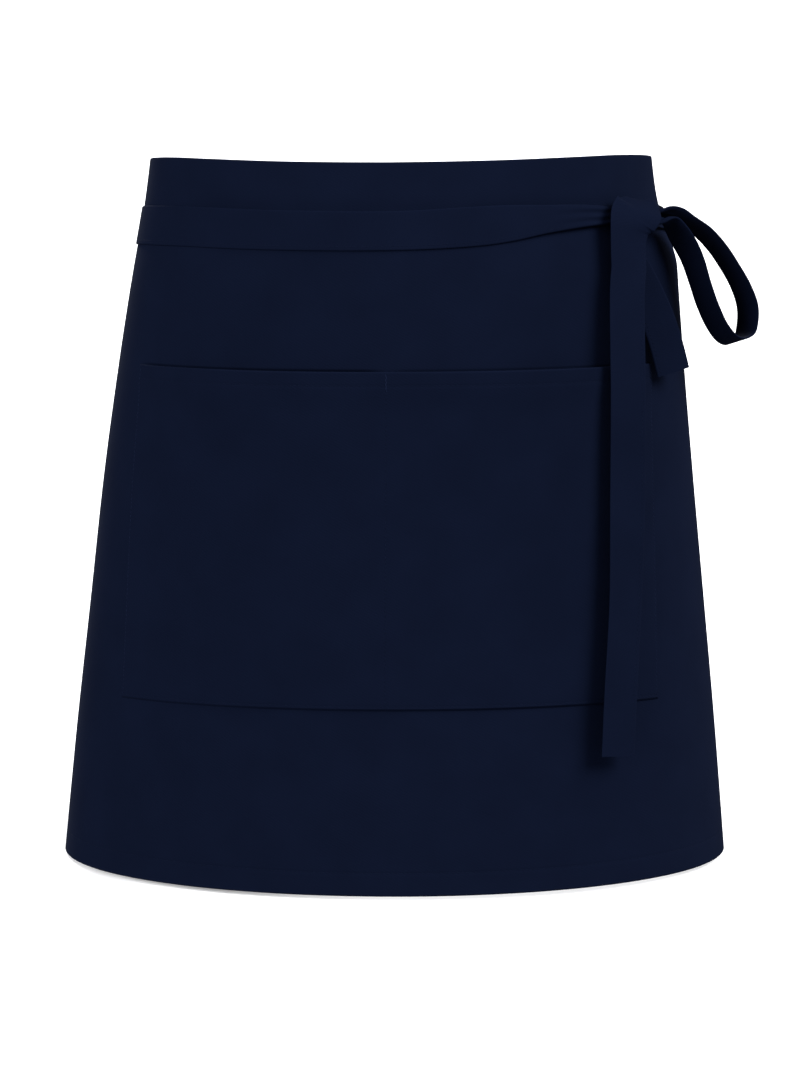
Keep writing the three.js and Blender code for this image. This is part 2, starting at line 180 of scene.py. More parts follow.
def cloth_wall(name, face, lining, flat):
    """Closed wall of cloth from two grids of points, its outer and inner face, joined round the edges.
    The map called cloth holds each point's flat place in millimetres."""
    rows, columns = face.shape[:2]
    outer = np.arange(rows * columns).reshape(rows, columns)
    inner = outer + rows * columns
    rim = np.concatenate([outer[0], outer[1:, -1], outer[-1, -2::-1], outer[-2::-1, 0]])
    quads = np.concatenate([
        np.stack([outer[:-1, :-1], outer[1:, :-1], outer[1:, 1:], outer[:-1, 1:]], -1).reshape(-1, 4),
        np.stack([inner[:-1, :-1], inner[:-1, 1:], inner[1:, 1:], inner[1:, :-1]], -1).reshape(-1, 4),
        np.stack([rim[:-1], rim[1:], rim[1:] + rows * columns, rim[:-1] + rows * columns], -1),
    ])
    points = np.concatenate([face.reshape(-1, 3), lining.reshape(-1, 3)]) * MM
    mesh = bpy.data.meshes.new(name)
    mesh.from_pydata(points.tolist(), [], quads.tolist())
    places = np.tile(flat.reshape(-1, 2), (2, 1))[quads.ravel()]
    mesh.uv_layers.new(name="cloth").data.foreach_set("uv", places.astype(np.float32).ravel())
    mesh.shade_smooth()
    piece = bpy.data.objects.new(name, mesh)
    bpy.context.scene.collection.objects.link(piece)
    return piece


def linear(hex_colour):
    """Linear colour of an sRGB hex value."""
    srgb = np.array([int(hex_colour[k:k + 2], 16) for k in (1, 3, 5)]) / 255
    value = np.where(srgb <= 0.04045, srgb / 12.92, ((srgb + 0.055) / 1.055) ** 2.4)
    return (*value.tolist(), 1.0)


def add_node(tree, kind, inputs=None, **settings):
    """Adds a node with its settings. Each input is a value, or an output that is linked to it."""
    made = tree.nodes.new(kind)
    for key, value in settings.items():
        setattr(made, key, value)
    for key, value in (inputs or {}).items():
        if isinstance(value, bpy.types.NodeSocket):
            tree.links.new(value, made.inputs[key])
        else:
            made.inputs[key].default_value = value
    return made


# Navy polycotton twill, woven and piece dyed: a matt dark blue with faint diagonal ribs, a slightly uneven
# dye and a soft bloom of loose fibre where it turns away. The real ribs are about 0.6 mm apart, too fine to
# show at this size, so they are drawn at 1.8 mm.
NAVY = "#0b1122"
TWILL_RIB, TWILL_DEG = 1.8, 63.0
YARN_FLECK = 1.1
DYE_PATCH = 45.0
BANDS_PER_UNIT = 20 / (2 * np.pi)
navy_twill = bpy.data.materials.new("navy_polycotton_twill")
navy_twill.use_nodes = True
weave = navy_twill.node_tree
weave.nodes.clear()
cloth_map = add_node(weave, "ShaderNodeUVMap", uv_map="cloth")
turned = add_node(weave, "ShaderNodeMapping", {
    "Vector": cloth_map.outputs["UV"], "Rotation": (0, 0, np.radians(TWILL_DEG))})
ribs = add_node(weave, "ShaderNodeTexWave", {
    "Vector": turned.outputs["Vector"], "Scale": 1 / (TWILL_RIB * BANDS_PER_UNIT),
    "Distortion": 0.8, "Detail": 1.0, "Detail Scale": 2.0}, bands_direction="X")
yarn = add_node(weave, "ShaderNodeTexNoise", {
    "Vector": cloth_map.outputs["UV"], "Scale": 1 / YARN_FLECK, "Detail": 3.0, "Roughness": 0.6})
patch = add_node(weave, "ShaderNodeTexNoise", {
    "Vector": cloth_map.outputs["UV"], "Scale": 1 / DYE_PATCH, "Detail": 2.0, "Roughness": 0.5})
relief = add_node(weave, "ShaderNodeMath", {
    0: ribs.outputs["Fac"], 1: yarn.outputs["Fac"]}, operation="ADD")
thread_tone = add_node(weave, "ShaderNodeMapRange", {
    "Value": relief.outputs["Value"], "From Min": 0.3, "From Max": 1.7, "To Min": 0.95, "To Max": 1.05})
dye_tone = add_node(weave, "ShaderNodeMapRange", {
    "Value": patch.outputs["Fac"], "From Min": 0.35, "From Max": 0.65, "To Min": 0.95, "To Max": 1.05})
tone = add_node(weave, "ShaderNodeMath", {
    0: thread_tone.outputs["Result"], 1: dye_tone.outputs["Result"]}, operation="MULTIPLY")
dyed = add_node(weave, "ShaderNodeVectorMath", {
    0: linear(NAVY)[:3], "Scale": tone.outputs["Value"]}, operation="SCALE")
woven = add_node(weave, "ShaderNodeBump", {
    "Height": relief.outputs["Value"], "Strength": 0.12, "Distance": 0.25 * MM})
cloth_shader = add_node(weave, "ShaderNodeBsdfPrincipled", {
    "Base Color": dyed.outputs["Vector"], "Normal": woven.outputs["Normal"], "Roughness": 0.9,
    "Specular IOR Level": 0.01, "Sheen Weight": 0.01, "Sheen Roughness": 0.3,
    "Sheen Tint": linear("#a9adc4")})
add_node(weave, "ShaderNodeOutputMaterial", {"Surface": cloth_shader.outputs["BSDF"]})


def mouth_sag(deg, z):
    """How far the skirt sags inwards behind the pocket's mouth: in each half as a flattened sine, setting in
    just above the mouth and fading out below it."""
    across = np.clip(np.abs(deg) / POCKET_TOP_DEG, 0, 1)
    half = np.clip(MOUTH_SAG_START * np.sin(np.pi * across), 0, 1) * np.where(deg > 0, RIGHT_MOUTH_SHARE, 1)
    below = POCKET_TOP_Z - POCKET_TOP_DROP * across ** 2 - z
    sets_in = ease(-MOUTH_SAG_ABOVE, MOUTH_SAG_LIP, below)
    return MOUTH_SAG * half * sets_in * (1 - ease(0, MOUTH_SAG_BELOW, below))


def waist_pull(deg, z):
    """How far the tie pulls the front in, from a little above the tie's top edge down to its middle."""
    below = WAIST_PULL_Z - z
    front = 1 - ease(*WAIST_PULL_DEG, np.abs(deg))
    return WAIST_PULL * front * ease(-WAIST_PULL_HIGH, 0, below) * (1 - ease(0, WAIST_PULL_LOW, below))


def skirt_panel():
    """Panel over angle and height: its outer face lies on the sections and its inner face behind it, thicker
    where an edge is turned, with half-round edges and a groove along each row of stitches."""
    length = TOP_Z - HEM_Z
    reach_end = BACK_EDGE_DEG * SKIRT_MM_PER_DEG
    side_lines = [side * (reach_end - SIDE_TURN + d) for side in (-1, 1) for d in (0, STITCH_IN)]
    front_top = TOP_EDGE[0, 1]
    mouth = length * (front_top - POCKET_TOP_Z) / (front_top - HEM_Z)
    down = lines_between(0, length, SKIRT_GRID_DOWN, TOP_TURN - STITCH_IN, TOP_TURN, mouth,
                         mouth + POCKET_TOP_DROP, length - HEM_TURN, length - HEM_TURN + STITCH_IN)[:, None]
    reach = lines_between(-reach_end, reach_end, SKIRT_GRID_ROUND, *side_lines)[None, :]
    deg = reach / SKIRT_MM_PER_DEG
    z = skirt_height(deg, down)
    from_side = reach_end - np.abs(reach)
    folded = np.maximum.reduce(np.broadcast_arrays(
        1 - ease(TOP_TURN, TOP_TURN + TURN_STEP, down),
        ease(length - HEM_TURN - TURN_STEP, length - HEM_TURN, down),
        1 - ease(SIDE_TURN, SIDE_TURN + TURN_STEP, from_side)))
    thick = CLOTH_THICK + (HEM_THICK - CLOTH_THICK) * folded
    pulled = (dent(down - TOP_TURN + STITCH_IN) + dent(down - length + HEM_TURN - STITCH_IN)
              + dent(from_side - SIDE_TURN + STITCH_IN))
    half = thick / 2 * rolled(np.minimum.reduce(np.broadcast_arrays(down, length - down, from_side)))
    sag = mouth_sag(deg, z) + waist_pull(deg, z)
    face = skirt_point(deg, z, half - thick / 2 - pulled - sag)
    lining = skirt_point(deg, z, -half - thick / 2 - sag)
    return cloth_wall("skirt_cloth", face, lining, laid_out(face))


skirt = skirt_panel()
skirt.data.materials.append(navy_twill)

# Skirt stitching: lockstitch in polyester thread of nearly the cloth's navy, along the turned edges, and a
# box with a cross at each back corner, where a tie is sewn on. The thread is drawn a little thick to show.
THREAD, THREAD_NAVY = 0.38, "#0c1326"
STITCH_PITCH, STITCH_LONG, STITCH_TAPER = 3.0, 2.5, 0.8
STITCH_RINGS, STITCH_SIDES = 5, 6
THREAD_RISE, THREAD_SINK = 0.45, 0.35
THREAD_FLECK = 1.2
BOX_DEG, BOX_Z = (119.5, 131.0), (6.0, 27.0)
POINTS_ROUND, POINTS_DOWN, POINTS_BOX = 400, 200, 20


def spun_thread(name, colour):
    """Thread of spun fibre: matt, in flecks a little lighter and darker than its colour."""
    thread = bpy.data.materials.new(name)
    thread.use_nodes = True
    tree = thread.node_tree
    tree.nodes.clear()
    place = add_node(tree, "ShaderNodeTexCoord")
    fleck = add_node(tree, "ShaderNodeTexNoise", {
        "Vector": place.outputs["Object"], "Scale": 1 / (THREAD_FLECK * MM), "Detail": 2.0})
    tone = add_node(tree, "ShaderNodeMapRange", {
        "Value": fleck.outputs["Fac"], "From Min": 0.3, "From Max": 0.7, "To Min": 0.85, "To Max": 1.15})
    flecked = add_node(tree, "ShaderNodeVectorMath", {
        0: linear(colour)[:3], "Scale": tone.outputs["Result"]}, operation="SCALE")
    shader = add_node(tree, "ShaderNodeBsdfPrincipled", {
        "Base Color": flecked.outputs["Vector"], "Roughness": 0.8, "Specular IOR Level": 0.03})
    add_node(tree, "ShaderNodeOutputMaterial", {"Surface": shader.outputs["BSDF"]})
    return thread


sewing_thread = spun_thread("navy_polyester_thread", THREAD_NAVY)


def sewn(name, runs, thread=sewing_thread):
    """Stitches along runs of points on the cloth, as one mesh. A stitch is a bar between two needle holes:
    its middle rises as a parabola out of the cloth, and its round section narrows towards both ends."""
    share = np.linspace(-1, 1, STITCH_RINGS)
    turn = np.linspace(0, 2 * np.pi, STITCH_SIDES, endpoint=False)
    radius = THREAD / 2 * np.sqrt(1 - STITCH_TAPER * share ** 2)[:, None, None]
    lift = THREAD * (THREAD_RISE * (1 - share ** 2) - THREAD_SINK)[:, None, None]
    bars = []
    for points, outward in runs:
        far = np.pad(np.linalg.norm(np.diff(points, axis=0), axis=1).cumsum(), (1, 0))
        at = np.arange(STITCH_PITCH / 2, far[-1], STITCH_PITCH)[:, None] + share * STITCH_LONG / 2
        place = np.stack([np.interp(at, far, column) for column in points.T], -1)
        up = unit(np.stack([np.interp(at, far, column) for column in outward.T], -1))
        side = unit(np.cross(up, place[:, -1:] - place[:, :1]))[:, :, None]
        up = up[:, :, None]
        round_it = side * np.cos(turn)[:, None] + up * np.sin(turn)[:, None]
        bars.append(place[:, :, None] + round_it * radius + up * lift)
    bars = np.concatenate(bars)
    count, rings, sides = bars.shape[:3]
    first = np.arange(count)[:, None, None] * rings * sides
    ring, spoke = np.arange(rings - 1)[:, None] * sides, np.arange(sides)
    after = np.roll(spoke, -1)
    quads = np.stack([ring + spoke, ring + after, ring + sides + after, ring + sides + spoke], -1)
    caps = np.stack([spoke[::-1], spoke + (rings - 1) * sides])
    mesh = bpy.data.meshes.new(name)
    mesh.from_pydata((bars.reshape(-1, 3) * MM).tolist(), [],
                     (first + quads.reshape(-1, 4)).reshape(-1, 4).tolist()
                     + (first + caps).reshape(-1, sides).tolist())
    mesh.shade_smooth()
    mesh.materials.append(thread)
    piece = bpy.data.objects.new(name, mesh)
    bpy.context.scene.collection.objects.link(piece)
    return piece


def skirt_run(deg, z, off=-STITCH_DENT):
    """Points and outward directions of a seam that is placed from the skirt's outer face."""
    deg, z, off = np.broadcast_arrays(np.asarray(deg, float), np.asarray(z, float), np.asarray(off, float))
    return skirt_point(deg, z, off), skirt_place(deg, z)[3]


def skirt_seams():
    """Seams of the turned top, hem and back edges, and the boxes with crosses."""
    length = TOP_Z - HEM_Z
    side_deg = BACK_EDGE_DEG - (SIDE_TURN - STITCH_IN) / SKIRT_MM_PER_DEG
    deg = np.linspace(-side_deg, side_deg, POINTS_ROUND)
    down = np.linspace(TOP_TURN - STITCH_IN, length - HEM_TURN + STITCH_IN, POINTS_DOWN)
    runs = [skirt_run(deg, skirt_height(deg, line)) for line in (down[0], down[-1])]
    even = np.linspace(0, 1, POINTS_BOX)
    for side in (-1, 1):
        edge = np.full(down.shape, side * side_deg)
        runs.append(skirt_run(edge, skirt_height(edge, down)))
        corners = [(side * BOX_DEG[i], BOX_Z[j]) for i, j in ((0, 0), (1, 0), (1, 1), (0, 1))]
        for a, b in ((0, 1), (1, 2), (2, 3), (3, 0), (0, 2), (1, 3)):
            (deg_a, z_a), (deg_b, z_b) = corners[a], corners[b]
            runs.append(skirt_run(deg_a + (deg_b - deg_a) * even, z_a + (z_b - z_a) * even, 0))
    return runs


skirt_stitching = sewn("skirt_stitching", skirt_seams())
for piece in (skirt, skirt_stitching):
    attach(piece, "root")
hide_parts("skirt_panel")

# Patch pocket: one wide rectangle of the same twill, its mouth hemmed, laid on the skirt and stitched down
#  its foot and middle, and in a paler thread down its sides and in a bar tack at the top of the middle seam.
#  The paler thread is painted highlight: the light that the stitched side edges and the dense tack catch.
# Each half stands a little open. Its half width is the straight one at the foot.
POCKET_FOOT_Z, POCKET_FOOT_DEG, POCKET_FOOT_DROP = -324.5, 56.1, 3.5
POCKET_LONG, POCKET_HALF_WIDE = POCKET_TOP_Z - POCKET_FOOT_Z, 186.0
POCKET_GAP, POCKET_EASE, POCKET_EASE_FALL = 0.4, 8.6, 1.3
POCKET_PRESSED, POCKET_PRESSED_GAP, POCKET_PRESSED_REACH = 0.6, 0.1, 1.5
POCKET_TURN, POCKET_TURN_FADE = 10.0, 18.0
POCKET_GRID_DOWN, POCKET_GRID_ACROSS = 4.2, 3.2
POCKET_STITCH_IN, MOUTH_STITCH_IN = 2.6, 9.6
TACK_LONG, TACK_STEP = 10.6, 0.35
POCKET_POINTS_ACROSS, POCKET_POINTS_DOWN, TACK_POINTS = 300, 160, 12
# Paler thread colour: painted highlight along the pocket's stitched sides and on the bar tack
HIGHLIGHT_THREAD_NAVY = "#151d34"


def pressed(across, down):
    """How far the pocket is pressed flat: 1 at its stitched sides and foot, and 0 inside."""
    edge = np.minimum(POCKET_HALF_WIDE * (1 - np.abs(across)), POCKET_LONG - down)
    return 1 - ease(0, POCKET_PRESSED_REACH, edge)


def pocket_place(across, down):
    """Angle, height and distance from the skirt of the pocket's back, with across from -1 to 1 between its
    sides: its corners drop as the square of across, and each half swells as the square of a sine, less and
    less towards the foot."""
    share = down / POCKET_LONG
    deg = across * (POCKET_TOP_DEG + (POCKET_FOOT_DEG - POCKET_TOP_DEG) * share)
    drop = (POCKET_TOP_DROP + (POCKET_FOOT_DROP - POCKET_TOP_DROP) * share) * across ** 2
    swell = POCKET_EASE * np.sin(np.pi * np.abs(across)) ** 2 * (1 - share) ** POCKET_EASE_FALL
    gap = POCKET_GAP + (POCKET_PRESSED_GAP - POCKET_GAP) * pressed(across, down)
    return deg, POCKET_TOP_Z - down - drop, gap + swell


def pocket_thick(across, down):
    """Thickness of the pocket: two layers in the hem of its mouth, one below, less where it is pressed."""
    hemmed = 1 - ease(POCKET_TURN, POCKET_TURN + POCKET_TURN_FADE, down)
    layers = CLOTH_THICK + (HEM_THICK - CLOTH_THICK) * hemmed
    return layers + (POCKET_PRESSED - layers) * pressed(across, down)


def patch_pocket():
    """Pocket as a wall over across and down, with half-round edges and a groove along each seam."""
    down = lines_between(0, POCKET_LONG, POCKET_GRID_DOWN, MOUTH_STITCH_IN,
                         POCKET_LONG - POCKET_STITCH_IN)[:, None]
    reach = lines_between(-POCKET_HALF_WIDE, POCKET_HALF_WIDE, POCKET_GRID_ACROSS, 0,
                          -POCKET_HALF_WIDE + POCKET_STITCH_IN, POCKET_HALF_WIDE - POCKET_STITCH_IN)[None, :]
    across = reach / POCKET_HALF_WIDE
    deg, z, off = pocket_place(across, down)
    thick = pocket_thick(across, down)
    from_side = POCKET_HALF_WIDE - np.abs(reach)
    pulled = (dent(down - MOUTH_STITCH_IN) + dent(POCKET_LONG - down - POCKET_STITCH_IN)
              + dent(from_side - POCKET_STITCH_IN) + dent(reach))
    half = thick / 2 * rolled(np.minimum.reduce(np.broadcast_arrays(down, POCKET_LONG - down, from_side)))
    face = skirt_point(deg, z, off + thick / 2 + half - pulled)
    lining = skirt_point(deg, z, off + thick / 2 - half)
    return cloth_wall("pocket_cloth", face, lining, laid_out(face))


def pocket_run(across, down):
    """Points and outward directions of a seam on the pocket's face."""
    across, down = np.broadcast_arrays(np.asarray(across, float), np.asarray(down, float))
    deg, z, off = pocket_place(across, down)
    return skirt_run(deg, z, off + pocket_thick(across, down) - STITCH_DENT)


def pocket_seams():
    """Seams of the mouth, foot and middle."""
    side = 1 - POCKET_STITCH_IN / POCKET_HALF_WIDE
    foot = POCKET_LONG - POCKET_STITCH_IN
    across = np.linspace(-side, side, POCKET_POINTS_ACROSS)
    down = np.linspace(POCKET_STITCH_IN, foot, POCKET_POINTS_DOWN)
    return [pocket_run(across, MOUTH_STITCH_IN), pocket_run(across, foot),
            pocket_run(0, down[down > TACK_LONG])]


def pocket_edge_seams():
    """Seams of both sides, and the bar tack: three close rows over the top of the middle seam, each starting
    lower than the last."""
    side = 1 - POCKET_STITCH_IN / POCKET_HALF_WIDE
    down = np.linspace(POCKET_STITCH_IN, POCKET_LONG - POCKET_STITCH_IN, POCKET_POINTS_DOWN)
    tack = np.linspace(STITCH_IN, STITCH_IN + TACK_LONG, TACK_POINTS)
    return [pocket_run(-side, down), pocket_run(side, down),
            *(pocket_run(row * TACK_STEP / POCKET_HALF_WIDE, tack + row) for row in (-1, 0, 1))]


pocket = patch_pocket()
pocket.data.materials.append(navy_twill)
pocket_stitching = sewn("pocket_stitching", pocket_seams())
# Thread for the sides and the bar tack, paler than the cloth to paint in their highlight
highlight_painted_thread = spun_thread("navy_thread_painted_highlight", HIGHLIGHT_THREAD_NAVY)
pocket_edging = sewn("pocket_edge_stitching", pocket_edge_seams(), highlight_painted_thread)
for piece in (pocket, pocket_stitching, pocket_edging):
    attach(piece, "root")
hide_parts("patch_pocket")

# Front tie: a strip of the twill folded double, pressed and edge stitched, sewn inside the right back corner.
# It crosses the back, comes round the left side and over the front, gathers, dives under the knot, turns up
# over its top and hangs down as the long tail.
TIE_WIDE, TIE_THICK = 26.6, 1.4
TIE_STEP, TIE_COLUMNS, TIE_SEAM_COLUMN = 1.6, 25, 5
TIE_PLEAT, TIE_PLEATS, TIE_PLEAT_SHIFT, TIE_PLEAT_EDGE = 1.7, 2.6, 0.15, 6
TIE_SEWN_WIDE = 18.0
TIE_DRAWN_WIDE, TIE_DRAWN_MOST, TIE_WOUND_THICK = 19.0, 0.5, (2.2, 2.6)
FRONT_TIE_BETWEEN = 24

# Angle round the waist, height, distance from the skirt, width, thickness, and direction of the width as
# shares along the waist, out of the skirt and up. The strip is pressed thin where it lies on the front.
FRONT_TIE = np.array([
    # deg, z, off, wide, thick, along, out, up
    (118, 15, -3.4, 26, 1.4, 0, 0, 1),
    (134, 17, -3.4, 26, 1.4, 0, 0, 1),
    (142, 17.5, -1.4, 26, 1.4, 0, 0, 1),
    (148, 17, 1.2, 26, 1.4, 0, 0, 1),
    (160, 12.5, 3.7, 26, 1.4, 0, 0, 1),
    (180, 3, 3.9, 26, 1.4, 0, 0, 1),
    (200, -7, 3.5, 26, 1.4, 0, 0, 1),
    (214, -12.5, 2.6, 26, 1.4, 0, 0, 1),
    (231, -14, 1.6, 26, 1.4, 0, 0, 1),
    (252, -10, 1, 26.6, 0.95, 0, 0, 1),
    (275, -4, 0.9, 27, 0.9, 0, 0, 1),
    (305, 0.1, 0.9, 27.6, 0.9, 0, 0, 1),
    (335, 0.2, 0.9, 27.2, 0.9, 0, 0, 1),
    (361, 0.3, 0.9, 26.6, 0.85, 0, 0, 1),
    (377, 2.2, 0.9, 27, 0.85, 0, 0, 1),
    (386, 3.9, 1.05, 25, 0.95, 0, 0, 1),
    (395, 5.7, 1.9, 19.6, 1.4, 0, 0, 1),
    (404, 6.6, 2.8, 16, 1.8, 0, 0, 1),
    (411.5, 6.2, 2.9, 13, 2.2, 0, 0, 1),
    (416.5, 6, 2.5, 10.5, 2.4, 0, 0, 1),
    (420.6, 7.2, 3.2, 9, 2.4, -0.7, 0, 0.7),
    (423.2, 10.2, 4.9, 11, 1.8, -1, 0.12, 0.05),
    (423.6, 13.3, 9.6, 20, 1.5, -0.97, -0.15, 0.1),
    (419.4, 6.8, 15.4, 33.4, 1.4, -0.95, -0.28, 0.1),
    (416.6, 1.6, 15.6, 34.6, 1.4, -0.94, -0.28, 0.2),
    (415.2, -3.4, 15, 32.6, 1.4, -0.95, -0.25, 0.2),
    (414.4, -8, 13.9, 30, 1.4, -0.97, -0.19, 0.2),
    (413.4, -16.4, 12.7, 28.2, 1.4, -0.98, -0.16, 0.1),
    (412.3, -30, 12.2, 28, 1.4, -0.99, -0.15, 0.02),
    (411, -50, 12.9, 27.8, 1.4, -0.99, -0.15, 0),
    (408.9, -118, 16.2, 27.4, 1.4, -0.99, -0.15, 0),
    (407.3, -187, 15.6, 27.2, 1.4, -0.99, -0.15, 0),
    (405.5, -255, 14.6, 26.6, 1.4, -1, -0.03, 0),
    (403.3, -316, 13.8, 26.2, 1.4, -1, -0.03, 0),
    (401.9, -362, 13, 25.6, 1.4, -1, -0.03, 0),
])


def curve_through(knots, rows, at):
    """Smooth curve through rows of a table: cubic pieces whose slope at a row is that of the parabola
    through it and its two neighbours."""
    step = np.diff(knots)[:, None]
    rise = np.diff(rows, axis=0) / step
    middle = (rise[:-1] * step[1:] + rise[1:] * step[:-1]) / (step[1:] + step[:-1])
    slope = np.concatenate([rise[:1], middle, rise[-1:]])
    k = np.clip(np.searchsorted(knots, at, side="right") - 1, 0, len(step) - 1)
    f = ((at - knots[k]) / step[k, 0])[:, None]
    eased = f * f * (3 - 2 * f)
    bend = step[k] * f * (1 - f) * ((1 - f) * slope[k] - f * slope[k + 1])
    return rows[k] + (rows[k + 1] - rows[k]) * eased + bend


def skirt_stations(table, between):
    """Stations of a tie that is placed from the skirt: place, width's direction, width and thickness, with
    more of them between the table's rows."""
    count = len(table)
    deg, z, off, wide, thick, *shares = curve_through(
        np.arange(count), table, np.linspace(0, count - 1, (count - 1) * between + 1)).T
    point, along, rise, out = skirt_place(deg, z)
    across = along * shares[0][:, None] + out * shares[1][:, None] + rise * shares[2][:, None]
    return np.column_stack([point + out * off[:, None], unit(across), wide, thick])


def tie_faces(stations):
    """Both faces of a strip carried along its stations at even steps, its flat places and its widths. Its
    section is flat with half-round edges, and gathers into cosine waves where the strip is drawn in, but
    not where it is wound up thick in the knot."""
    far = np.pad(np.linalg.norm(np.diff(stations[:, :3], axis=0), axis=1).cumsum(), (1, 0))
    even = lines_between(0, far[-1], TIE_STEP)
    path = np.column_stack([np.interp(even, far, column) for column in stations.T])
    middle, wide, thick = path[:, :3], path[:, 6:7], path[:, 7:8]
    tangent = unit(np.gradient(middle, axis=0))
    across = path[:, 3:6]
    across = unit(across - tangent * (across * tangent).sum(1, keepdims=True))
    normal = np.cross(tangent, across)
    share = np.sin(np.linspace(-np.pi / 2, np.pi / 2, TIE_COLUMNS))[None, :] / 2
    half = thick / 2 * rolled((0.5 - np.abs(share)) * wide)
    drawn = np.clip(1 - wide / TIE_DRAWN_WIDE, 0, TIE_DRAWN_MOST) * (1 - ease(*TIE_WOUND_THICK, thick))
    inside = 1 - (2 * np.abs(share)) ** TIE_PLEAT_EDGE
    wave = TIE_PLEAT * drawn * np.cos(2 * np.pi * (TIE_PLEATS * share + TIE_PLEAT_SHIFT)) * inside
    row = middle[:, None] + across[:, None] * (share * wide)[..., None]
    face = row + normal[:, None] * (wave + half)[..., None]
    lining = row + normal[:, None] * (wave - half)[..., None]
    flat = np.stack(np.broadcast_arrays(share * TIE_WIDE, even[:, None]), -1)
    return face, lining, flat, wide[:, 0]


def tie_seams(face, lining, wide):
    """Edge seam of a strip on both its faces, left out where the strip is drawn together."""
    outer, inner = face[:, TIE_SEAM_COLUMN], lining[:, TIE_SEAM_COLUMN]
    outward = unit(outer - inner)
    flat_parts = np.split(np.arange(len(wide)), np.flatnonzero(np.diff(wide > TIE_SEWN_WIDE)) + 1)
    return [run for part in flat_parts if wide[part[0]] > TIE_SEWN_WIDE
            for run in ((outer[part], outward[part]), (inner[part], -outward[part]))]


front_face, front_lining, front_flat, front_wide = tie_faces(skirt_stations(FRONT_TIE, FRONT_TIE_BETWEEN))
front_tie = cloth_wall("front_tie_cloth", front_face, front_lining, front_flat)
front_tie.data.materials.append(navy_twill)
front_tie_stitching = sewn("front_tie_stitching", tie_seams(front_face, front_lining, front_wide))
for piece in (front_tie, front_tie_stitching):
    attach(piece, "root")
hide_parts("front_tie")

# Side tie: the same folded strip, sewn inside the left back corner. It crosses the back under the front tie,
# comes round the right side and turns back in the knot, runs out as the loop of the half bow, comes in again
# and ends as the short tail.
SIDE_TIE_IN_BETWEEN, SIDE_TIE_OUT_BETWEEN, SIDE_TIE_BETWEEN = 4, 2, 10
SIDE_TIE_IN = np.array([
    # deg, z, off, wide, thick, along, out, up
    (242, 15, -3.4, 26, 1.4, 0, 0, 1),
    (226, 17, -3.4, 26, 1.4, 0, 0, 1),
    (218, 17.5, -2, 26, 1.4, 0, 0, 1),
    (210, 16.5, -0.4, 26, 1.4, 0, 0, 1),
    (200, 12.5, 0.8, 26, 1.4, 0, 0, 1),
    (180, 3, 1.3, 26, 1.4, 0, 0, 1),
    (160, -8.5, 0.8, 26, 1.4, 0, 0, 1),
    (147, -13.5, 1.4, 26, 1.4, 0, 0, 1),
    (130, -13, 1.7, 26, 1.4, 0, 0, 1),
    (112, -6, 1.6, 26, 1.4, 0, 0, 1),
    (97, -4.2, 1.7, 21, 1.4, 0, 0, 1),
    (86, -2.2, 2.2, 16, 1.6, 0, 0, 1),
    (77, -0.8, 2.6, 12.6, 2, 0, 0, 1),
    (70.5, 0, 4, 10, 2.6, 0, 0, 1),
    (65.5, 0.6, 5.6, 8, 3, 0, 0, 1),
    (61.6, -2.4, 6.4, 7, 3, 0, 0, 1),
    (58.6, -3.6, 6.6, 6.4, 3, 0, 0, 1),
    (54.4, 1.2, 6.9, 5.2, 3, 1, 0, 0),
    (58.6, 6, 7.3, 6.4, 3, 0, 0, -1),
    (61.6, 6.2, 8, 7, 3, 0, 0, -1),
    (65.5, 6.4, 9.7, 7.4, 3, 0, 0.3, -0.95),
])
SIDE_TIE_OUT = np.array([
    # deg, z, off, wide, thick, along, out, up
    (65, -1.6, 11.9, 7.6, 3, 0, 0.3, -0.95),
    (60.5, -2.4, 11.2, 7, 3, 0, 0, -1),
    (57.6, -6, 10.8, 7.8, 3, 0.75, 0, -0.65),
    (56.2, -12, 8.8, 13, 2.4, 1, 0, -0.1),
    (56, -26, 6.6, 21, 1.6, 0.95, 0.15, 0.25),
    (58.3, -43.7, 7, 25.5, 1.4, 0.87, 0.3, 0.45),
    (61.9, -63.8, 8.5, 25.8, 1.4, 0.85, 0.36, 0.4),
    (64.2, -84.2, 10.5, 25.8, 1.4, 0.83, 0.42, 0.36),
    (65.4, -104.2, 12.5, 25.8, 1.4, 0.82, 0.44, 0.36),
])

# The loop stands in an upright plane that turns back from the picture's right: distance from its root in
# that plane, height over the root, width, angle that the width is turned by, and rise of its near edge
LOOP_ROOT = np.array([192.0, -49.0, 6.0])
LOOP_TURN_DEG = 36.0
LOOP_THICK = 1.6
LOOP = np.array([
    # out, z, wide, turn, lift
    (0, 1.6, 14, 38, 0.9),
    (13, -4, 20.4, 36, 0.31),
    (26.3, -12, 24.2, 34, 0.22),
    (39.7, -23.8, 24.4, 33, 0.18),
    (51.2, -37.6, 24.2, 32.5, 0.17),
    (61.6, -52.7, 24.4, 33, 0.18),
    (67.5, -66.7, 25.2, 34, 0.2),
    (67.7, -78.7, 26, 34.5, 0.23),
    (64.8, -87.2, 26, 36, 0.27),
    (58, -91, 26, 36, 0.27),
    (50.5, -88.8, 26, 36, 0.2),
    (41, -79, 26, 36, 0.12),
    (32.8, -64.6, 25.9, 36, 0.1),
    (25.8, -48.2, 25.5, 36, 0.1),
    (19.2, -32.2, 27.4, 36, 0.1),
    (11.2, -18.8, 29.5, 36, 0.12),
    (4.8, -9.4, 24.4, 35, 0.24),
    (0, -4.5, 14.5, 34, 0.6),
])


def loop_stations():
    """Stations of the loop, whose width stands nearly square to its plane."""
    away, height, wide, turn, lift = LOOP.T
    plane = np.radians(LOOP_TURN_DEG)
    place = LOOP_ROOT + np.outer(away, (np.cos(plane), np.sin(plane), 0)) + np.outer(height, (0, 0, 1))
    across = unit(np.column_stack([np.sin(np.radians(turn)), -np.cos(np.radians(turn)), lift]))
    thick = LOOP_THICK + (TIE_THICK - LOOP_THICK) * wide / TIE_WIDE
    return np.column_stack([place, across, wide, thick])


